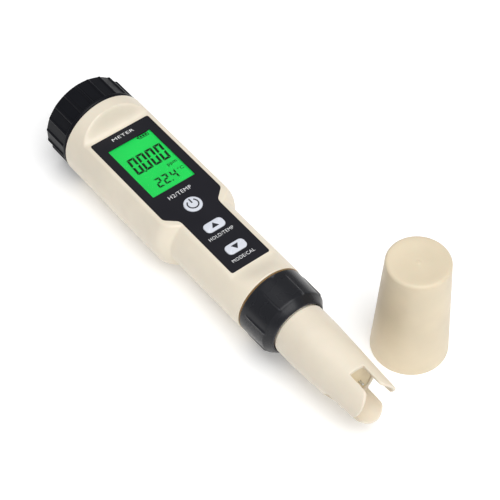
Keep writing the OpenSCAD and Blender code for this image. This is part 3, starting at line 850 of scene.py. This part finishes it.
def digit(character, x, station, width, height, thick):
    """Slanted seven-segment digit with its lower left corner at x, station."""
    shapes = segment_shapes(width, height, thick)
    return [mark([(x + px + py * SLANT, station + py) for px, py in shapes[s]])
            for s in SEGMENTS[character]]


def mark_box(cx, cy, width, length):
    return mark(round_box(cx, cy, width, length, min(width, length) * 0.2, 3))


def large_reading():
    marks = []
    for i in range(4):
        marks += digit("0", -7.75 + 4.4 * i, 141.4, *LARGE_DIGIT)
    return marks + [mark_box(-3.8, 141.35, 0.72, 0.75)]


def small_reading():
    marks = []
    for character, x in (("2", -4.9), ("2", -1.45), ("4", 2.65)):
        marks += digit(character, x, 130.4, *SMALL_DIGIT)
    return marks + [mark_box(2.0, 130.6, 0.6, 0.6)]


def battery_sign():
    """Outline of a battery with three bars in it."""
    x, station, line = 6.9, 158.35, 0.32
    sides = [mark_box(x, station + 0.9, 4.9, line), mark_box(x, station - 0.9, 4.9, line),
             mark_box(x - 2.3, station, line, 2.0), mark_box(x + 2.3, station, line, 2.0),
             mark_box(x - 2.8, station, 0.5, 0.9)]
    return sides + [mark_box(x - 1.25 + 1.25 * i, station, 0.9, 1.0) for i in range(3)]


def build_display_marks():
    """Large and small readings, their units and the battery mark, as dark segments."""
    units = [lettering("ppm", 7.2, 138.3, 4.6, 1.75, MARK_LOW, UNIT_WEIGHT),
             lettering("°C", 8.4, 134.2, 2.9, 1.7, MARK_LOW, UNIT_WEIGHT)]
    groups = {"reading_large": large_reading(), "reading_small": small_reading(),
              "battery_mark": battery_sign(), "reading_units": units}
    for name, parts in groups.items():
        finish_piece(to_object(name, joined(parts), SEGMENT_INK), "pen")


# ---- keys ----

KEY_TOP = 12.45
FLANGE_TOP, FLANGE_T, FLANGE_GROW = 9.5, 1.2, 0.8
STEM_R = 1.5
STEM_LOW = 7.2
EDGE_DROP, EDGE_R = 0.4, 0.32
# how far in from the edge each crown ring is, and how far it rises
CROWN = ((0.8, 0.045), (1.4, 0.07), (1.9, 0.08))
MARK_SUNK, MARK_PROUD = 0.02, 0.015
# the power mark's ring as inner and outer radius and its two end angles, and its bar as
# the middle's distance from the key's, width and length
POWER_RING = (2.05, 2.65, 128, 412)
POWER_BAR = (1.75, 0.62, 2.5)
TIP_L, BASE_L, BASE_HALF_W, TIP_R = 1.4, 1.15, 1.7, 0.12


def key_rings(outline_at):
    """Rings of a key: stem, hidden flange, shaft and a softly crowned top.

    outline_at gives the key's outline grown by so much, or the stem's for None.
    """

    def ring(grow, height):
        return [pen_point(x, y, height) for x, y in outline_at(grow)]

    rings = [ring(None, STEM_LOW), ring(None, FLANGE_TOP - FLANGE_T),
             ring(FLANGE_GROW, FLANGE_TOP - FLANGE_T), ring(FLANGE_GROW, FLANGE_TOP),
             ring(0, FLANGE_TOP), ring(0, KEY_TOP - EDGE_DROP)]
    for turn in range(15, 91, 15):
        a = math.radians(turn)
        rings.append(ring(-EDGE_R * (1 - math.cos(a)), KEY_TOP - EDGE_DROP + EDGE_R * math.sin(a)))
    edge_top = KEY_TOP - (EDGE_DROP - EDGE_R)
    for inset, rise in CROWN:
        rings.append(ring(-inset, edge_top + rise))
    return rings


def power_outline(grow):
    radius = STEM_R if grow is None else POWER_R + grow
    return circle(0, KEY_STATIONS["power"], radius, 72)


def arrow_outline(station):
    """Outlines of an arrow key; the stem has as many points as the key."""

    def outline(grow):
        if grow is None:
            return circle(0, station, STEM_R, 4 * (CORNER_STEPS + 1))
        # the corners tighten more slowly than the sides close in, but never meet
        radius = min(ARROW_CORNER + grow * 0.7, ARROW_L / 2 + grow - 0.02)
        return round_box(0, station, ARROW_W + 2 * grow, ARROW_L + 2 * grow, radius)
    return outline


def build_keys():
    keys = {"power": power_outline, "up": arrow_outline(KEY_STATIONS["up"]),
            "down": arrow_outline(KEY_STATIONS["down"])}
    for key, outline in keys.items():
        made = to_object(key + "_button_cap", skin(key_rings(outline)), SLOT_LOOKS["grey_key"])
        finish_piece(made, key + "_button", [key + "_key"], sharp=40)


def arc_band(cx, cy, inner, outer, start, end, count=40):
    """Outline of part of a ring, between two angles in degrees."""
    turns = [math.radians(start + (end - start) * i / count) for i in range(count + 1)]
    outside = [(cx + outer * math.cos(a), cy + outer * math.sin(a)) for a in turns]
    return outside + [(cx + inner * math.cos(a), cy + inner * math.sin(a)) for a in turns[::-1]]


def key_mark(outline):
    return prism(outline, KEY_TOP - MARK_SUNK, KEY_TOP + MARK_PROUD)


def arrow_mark(key, way):
    """Triangle that points along the pen, to the rear for way 1 and to the probe for -1."""
    tip, base = KEY_STATIONS[key] + TIP_L * way, KEY_STATIONS[key] - BASE_L * way
    corners = [(-BASE_HALF_W, base, TIP_R), (BASE_HALF_W, base, TIP_R), (0, tip, TIP_R)]
    return key_mark(rounded(corners[::way], 3))


def build_key_marks():
    """The power sign and the two triangles, each riding on its key."""
    station = KEY_STATIONS["power"]
    offset, width, length = POWER_BAR
    power = [key_mark(arc_band(0, station, *POWER_RING)),
             key_mark(round_box(0, station + offset, width, length, 0.2, 3))]
    marks = {"power": power, "up": [arrow_mark("up", 1)], "down": [arrow_mark("down", -1)]}
    for key, parts in marks.items():
        made = to_object(key + "_button_mark", joined(parts), DARK_INK)
        finish_piece(made, key + "_button")


# ---- battery cap ----

CAP_FRONT = 178.2
LIP_R, LIP_END = 19.85, 179.8
CAP_BORE_R, CAP_INNER_END = 17.85, 190.4
FACETS = 20
FACET_CORNER_R = 19.3
RIB_CENTRE_R, RIB_R, RIB_BLEND = 19.2, 0.6, 0.12
# angles on one facet's ring, closest together on the rib at its corner
FACET_ANGLES = (0, 2, 4, 6.2, 7.0, 7.35, 7.7, 8.1, 8.5, 9.0, 9.5, 9.9, 10.3, 10.65, 11.0, 11.8,
                14, 16)
REAR_SLOPE_R, REAR_SLOPE, REAR_BLEND = 18.45, 1.3, 0.4
# the bore and the front lip, then the rear face, as (radius, station)
CAP_BORE_AND_LIP = ((CAP_BORE_R, CAP_INNER_END), (CAP_BORE_R, CAP_FRONT + 0.3),
                    (CAP_BORE_R + 0.3, CAP_FRONT), (LIP_R - 0.75, CAP_FRONT),
                    (LIP_R - 0.6, CAP_FRONT + 0.06), (LIP_R - 0.1, CAP_FRONT + 0.56),
                    (LIP_R, CAP_FRONT + 0.8), (LIP_R, LIP_END - 0.15),
                    (LIP_R - 0.08, LIP_END - 0.02))
CAP_REAR_FACE = ((18.3, PEN_LENGTH - 0.07), (18.0, PEN_LENGTH), (16.4, PEN_LENGTH),
                 (16.2, PEN_LENGTH - 0.08), (15.7, PEN_LENGTH - 0.45), (15.4, PEN_LENGTH - 0.5))
GRIP_STEPS = ((LIP_END + 0.05, PEN_LENGTH - 2.6, 1.2), (PEN_LENGTH - 2.4, PEN_LENGTH - 0.25, 0.2))
COIN_SLOT_L, COIN_SLOT_W, COIN_SLOT_DEPTH = 18, 2, 1.6


def faceted_radius(degrees):
    """Radius of the grip: flat facets with a slim round rib on each corner."""
    step = 360 / FACETS
    off = (degrees + step / 2) % step - step / 2
    from_corner = (degrees % step) - step / 2
    flat = FACET_CORNER_R * math.cos(math.radians(step / 2)) / math.cos(math.radians(off))
    across = RIB_CENTRE_R * math.sin(math.radians(from_corner))
    if abs(across) >= RIB_R:
        return flat
    rib = RIB_CENTRE_R * math.cos(math.radians(from_corner)) + math.sqrt(RIB_R ** 2 - across ** 2)
    return soft_max(flat, rib, RIB_BLEND)


def grip_radius(degrees, station):
    """The grip, closed in by the cap's sloping rear edge."""
    slope = REAR_SLOPE_R + (PEN_LENGTH - station) * REAR_SLOPE
    return soft_min(faceted_radius(degrees), slope, REAR_BLEND)


def build_battery_cap():
    """Screw cap with a faceted grip and a coin slot in its rear face."""
    angles = [360 / FACETS * i + a for i in range(FACETS) for a in FACET_ANGLES]
    rings = [[ring_point(r, a, s) for a in angles] for r, s in CAP_BORE_AND_LIP]
    for low, high, size in GRIP_STEPS:
        for station in steps(low, high, size):
            rings.append([ring_point(grip_radius(a, station), a, station) for a in angles])
    rings += [[ring_point(r, a, s) for a in angles] for r, s in CAP_REAR_FACE]
    made = to_object("battery_cap_shell", skin(rings), SLOT_LOOKS["black_plastic"])
    slot = round_box(0, 0, COIN_SLOT_L, COIN_SLOT_W, 0.98, 6)
    ends = (PEN_LENGTH - COIN_SLOT_DEPTH, PEN_LENGTH + 1)
    cut(made, skin([[pen_point(x, station, z) for x, z in slot] for station in ends]))
    finish_piece(made, "screw_cap", ["battery_cap"], sharp=30)


# ---- probe collar ----

COLLAR_FRONT, COLLAR_EDGE, COLLAR_REAR = 46.9, 50.3, 64.2
COLLAR_EDGE_R, COLLAR_REAR_R = 15.1, 15.5
NOSE_BORE_R, COLLAR_BORE_R = 12.05, 13.1
COLLAR_RIBS, FIRST_RIB = 8, 18.5
RIB_HALF_W, RIB_HEIGHT, RIB_END = 0.5, 0.42, 61.5
RIB_START, RIB_THINNING = COLLAR_EDGE - 0.7, 0.55
REAR_RIM_R = 0.35
RIB_ANGLES = (-2.4, -1.6, -1.2, -0.8, -0.4, 0, 0.4, 0.8, 1.2, 1.6, 2.4)
# the nose cone and the bore as (radius, station), and its rounded edge as (station, drop)
NOSE = ((NOSE_BORE_R, COLLAR_FRONT + 0.1), (NOSE_BORE_R + 0.1, COLLAR_FRONT),
        (12.5, COLLAR_FRONT + 0.08), (12.8, COLLAR_FRONT + 0.4), (13.6, 48.3), (14.3, 49.2))
NOSE_EDGE = ((49.75, 0.38), (49.95, 0.18), (50.15, 0.06), (50.4, 0.0))
COLLAR_BORE = ((COLLAR_BORE_R + 0.2, COLLAR_REAR), (COLLAR_BORE_R, COLLAR_REAR - 0.2),
               (COLLAR_BORE_R, COLLAR_EDGE + 0.2), (NOSE_BORE_R, COLLAR_EDGE + 0.2))


def collar_radius(degrees, station):
    """Barrel of the collar with its fine ribs, which fade out before the rear rim."""
    share = (station - COLLAR_EDGE) / (COLLAR_REAR - COLLAR_EDGE)
    barrel = COLLAR_EDGE_R + (COLLAR_REAR_R - COLLAR_EDGE_R) * share
    step = 360 / COLLAR_RIBS
    off = abs((degrees - FIRST_RIB + step / 2) % step - step / 2)
    across = math.radians(off) * barrel / RIB_HALF_W
    ends = min(1.0, max(0.0, RIB_END - station)) * min(1.0, max(0.0, station - RIB_START))
    height = RIB_HEIGHT * (1 - RIB_THINNING * share) * ends
    return barrel + (height * math.cos(across * math.pi / 2) if across < 1 else 0)


def build_collar():
    """Ring nut with a conical nose; its angles are closest together on the ribs."""
    within = list(RIB_ANGLES) + steps(5.4, 39.6, 3.8)
    angles = [FIRST_RIB + 360 / COLLAR_RIBS * i + a for i in range(COLLAR_RIBS) for a in within]
    rings = []

    def plain(radius, station):
        rings.append([ring_point(radius, a, station) for a in angles])

    def ribbed(station, less=0.0):
        rings.append([ring_point(collar_radius(a, station) - less, a, station) for a in angles])

    for radius, station in NOSE:
        plain(radius, station)
    for station, less in NOSE_EDGE:
        ribbed(station, less)
    for station in steps(50.9, COLLAR_REAR - 0.5, 0.9):
        ribbed(station)
    for turn in (30, 60, 90):
        a = math.radians(turn)
        ribbed(COLLAR_REAR - REAR_RIM_R * (1 - math.sin(a)), REAR_RIM_R * (1 - math.cos(a)))
    for radius, station in COLLAR_BORE:
        plain(radius, station)
    made = to_object("probe_collar_ring", skin(rings, looped=True), COLLAR_PLASTIC)
    finish_piece(made, "collar", ["probe_collar"], sharp=35)


# ---- storage sponge, in metres ----

SPONGE_RIM = 0.0011
SPONGE_TURNS = 72
# each layer of dents as (depth, how many dents to a metre)
DENTS = ((0.00028, 900), (0.0002, 330))


def dent_at(spot):
    """Depth of the foam's surface at a spot, the same on every run."""
    return sum(depth * abs(noise.noise(spot * scale)) for depth, scale in DENTS)


def build_sponge():
    """Round foam pad with a soft rim and an uneven open-cell surface."""
    low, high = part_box("storage_sponge")
    middle = (low + high) / 2
    radius, half = (high.x - low.x) / 2, (high.z - low.z) / 2
    profile = [(0.15 + 0.85 * i / 14) * (radius - SPONGE_RIM) for i in range(15)]
    path = [(r, -half) for r in profile]
    for turn in range(15, 180, 15):
        a = math.radians(turn)
        path.append((radius - SPONGE_RIM + SPONGE_RIM * math.sin(a), -half * math.cos(a)))
    path += [(r, half) for r in profile[::-1]]
    rings = []
    for r, z in path:
        ring = []
        for x, y in circle(0, 0, r, SPONGE_TURNS):
            spot = Vector((x, y, z))
            dent = dent_at(spot)
            shrink = 1 - dent / radius
            ring.append(middle + Vector((spot.x * shrink, spot.y * shrink, z * (1 - dent / half))))
        rings.append(ring)
    made = to_object("storage_sponge_pad", skin(rings), SLOT_LOOKS["foam"])
    finish_piece(made, "storage_cover", ["storage_sponge"], sharp=60)


# ---- storage cap ----

CAP_RIM_R, CAP_TOP_R, CAP_H = 15.74, 12.84, 52.26
CAP_FOOT_R, CAP_EDGE_R = 0.35, 1.3
CAP_WALL, CAP_INNER_H = 1.9, 49.9
SEAL_SEAT_R, SEAL_LOW, SEAL_HIGH = 13.3, 5.2, 10.8
CAP_TURNS = 96
DISH = 0.75
DISH_BOTTOM = CAP_H - DISH
DISH_SHARES = (0.94, 0.88, 0.8, 0.7, 0.6, 0.5, 0.4, 0.3, 0.2, 0.12)
# the moulding mark in the dish, then the inside down to the rim, as (radius, height)
CAP_MIDDLE_AND_INSIDE = (
    (0.8, DISH_BOTTOM), (0.6, DISH_BOTTOM + 0.12), (0.25, DISH_BOTTOM + 0.12),
    (0.05, DISH_BOTTOM + 0.1), (0.05, CAP_INNER_H), (CAP_TOP_R - CAP_WALL + 0.3, CAP_INNER_H),
    (SEAL_SEAT_R - 0.55, SEAL_HIGH + 0.1), (SEAL_SEAT_R, SEAL_HIGH + 0.1),
    (SEAL_SEAT_R, SEAL_LOW - 0.1), (SEAL_SEAT_R + 0.4, SEAL_LOW - 0.1), (SEAL_SEAT_R + 0.6, 0))


def cap_profile():
    """The cap's outline as (radius, height), from the rim over the top and back inside."""
    slope = (CAP_RIM_R - CAP_TOP_R) / CAP_H
    foot_r = CAP_RIM_R - CAP_FOOT_R
    profile = [(foot_r, 0)]
    for turn in (30, 60, 90):
        a = math.radians(turn)
        profile.append((foot_r + CAP_FOOT_R * math.sin(a), CAP_FOOT_R * (1 - math.cos(a))))
    for height in steps(3, CAP_H - CAP_EDGE_R - 1, 3):
        profile.append((CAP_RIM_R - slope * height, height))
    centre_r = CAP_TOP_R - CAP_EDGE_R + slope * CAP_EDGE_R
    for turn in steps(math.degrees(math.atan(slope)), 90, 10):
        a = math.radians(turn)
        profile.append((centre_r + CAP_EDGE_R * math.cos(a),
                        CAP_H - CAP_EDGE_R + CAP_EDGE_R * math.sin(a)))
    for share in DISH_SHARES:
        bowl = 1 - share * share
        profile.append((centre_r * share, CAP_H - DISH * bowl * bowl * (3 - 2 * bowl)))
    return profile + list(CAP_MIDDLE_AND_INSIDE)


def build_storage_cap():
    """Tapered cap with a soft edge, a shallow dish on top and a small moulding mark."""
    low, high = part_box("storage_cap")
    axis = Vector(((low.x + high.x) / 2, (low.y + high.y) / 2, low.z))
    rings = [[axis + Vector((x, y, z)) * MM for x, y in circle(0, 0, r, CAP_TURNS)]
             for r, z in cap_profile()]
    made = to_object("storage_cap_shell", skin(rings, looped=True), CAP_PLASTIC)
    finish_piece(made, "storage_cover", ["storage_cap"], sharp=40)


# ---- probe guard ----

GUARD_VOXEL = 0.00022
GUARD_SMOOTHING, GUARD_PASSES = 0.5, 16
GUARD_KEPT = 0.14


def build_guard():
    """The slotted tube with every edge of its prongs rounded off."""
    source = NODES["probe_guard"]
    mesh = source.data.copy()
    mesh.transform(source.matrix_world)
    made = bpy.data.objects.new("probe_guard_tube", mesh)
    bpy.context.scene.collection.objects.link(made)
    skin_over = made.modifiers.new("skin", "REMESH")
    skin_over.mode = "VOXEL"
    skin_over.voxel_size = GUARD_VOXEL
    soften = made.modifiers.new("soften", "SMOOTH")
    soften.factor = GUARD_SMOOTHING
    soften.iterations = GUARD_PASSES
    thin = made.modifiers.new("thin", "DECIMATE")
    thin.ratio = GUARD_KEPT
    shape = made.evaluated_get(bpy.context.evaluated_depsgraph_get())
    made.data = bpy.data.meshes.new_from_object(shape)
    made.modifiers.clear()
    made.data.materials.clear()
    made.data.materials.append(GUARD_PLASTIC)
    finish_piece(made, "probe_unit", ["probe_guard"], sharp=80)


build_housing()
build_label()
build_storage_cap()
build_guard()
build_legends()
build_display_marks()
build_keys()
build_key_marks()
build_battery_cap()
build_collar()
build_sponge()
